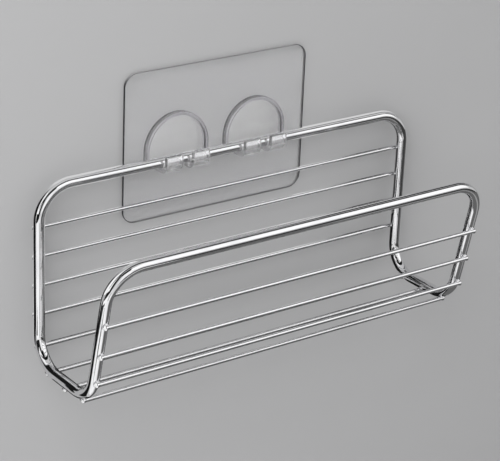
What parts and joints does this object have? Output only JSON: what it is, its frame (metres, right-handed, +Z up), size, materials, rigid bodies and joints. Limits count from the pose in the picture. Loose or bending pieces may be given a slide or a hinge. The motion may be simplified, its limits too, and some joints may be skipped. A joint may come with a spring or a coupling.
{
  "type": "sponge holder",
  "caption": "Wall-hung kitchen sponge holder: a polished steel wire basket with a low leaning front, hung by its back rail in clear hooks on a clear adhesive pad.",
  "frame": {"origin": "middle of the adhesive film's back face, on the wall", "axes": "+X to the right along the wall, +Y into the wall, +Z up"},
  "size_m": [0.165, 0.0541, 0.1017],
  "materials": {
    "polished_steel": "polished",
    "clear_sheet_plastic": "gloss",
    "clear_hook_plastic": "gloss",
    "clear_adhesive": "satin"
  },
  "bodies": {
    "wall_pad": {"adhesive_film": "clear_adhesive", "clear_sheet": "clear_sheet_plastic", "hook_left": "clear_hook_plastic", "hook_right": "clear_hook_plastic"},
    "basket": {"basket_loop": "polished_steel", "back_wire_1": "polished_steel", "back_wire_2": "polished_steel", "back_wire_3": "polished_steel", "back_wire_4": "polished_steel", "back_wire_5": "polished_steel", "rear_bend_wire": "polished_steel", "bottom_wire": "polished_steel", "front_bend_wire": "polished_steel", "front_wire_1": "polished_steel", "front_wire_2": "polished_steel", "front_wire_3": "polished_steel"}
  },
  "joints": [
    {"name": "basket_lift", "type": "slide", "parent": "wall_pad", "child": "basket", "axis": [0, 0, 1], "range_m": [0, 0.009]}
  ]
}
